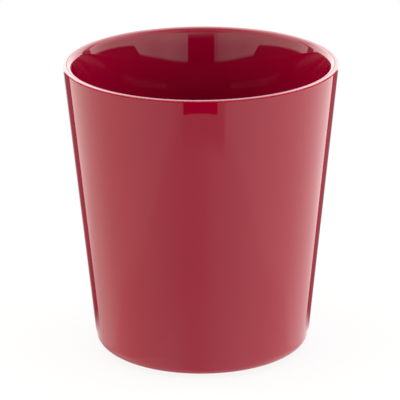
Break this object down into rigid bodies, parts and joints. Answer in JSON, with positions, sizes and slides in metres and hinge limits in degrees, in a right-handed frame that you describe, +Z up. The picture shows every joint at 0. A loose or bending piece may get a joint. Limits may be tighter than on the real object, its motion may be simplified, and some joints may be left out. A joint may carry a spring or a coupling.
{
  "type": "mug",
  "caption": "Straight-sided tapered drinking mug without a handle, glazed inside and out, with a thinned lip, a rounded base corner and a bare foot ring that it stands on.",
  "frame": {"origin": "centre of the foot ring, on the surface that the mug stands on", "axes": "+Z up along the mug's axis, from the foot to the rim; the mug is round, so +X and +Y are free"},
  "size_m": [0.0858, 0.0858, 0.0925],
  "materials": {
    "bare_clay": "matt, fired and bare, with fine specks",
    "red_glaze": "high gloss, deep crimson"
  },
  "bodies": {
    "root": {"clay_body": "bare_clay", "outer_glaze": "red_glaze", "inner_glaze": "red_glaze", "base_glaze": "red_glaze"}
  },
  "joints": []
}
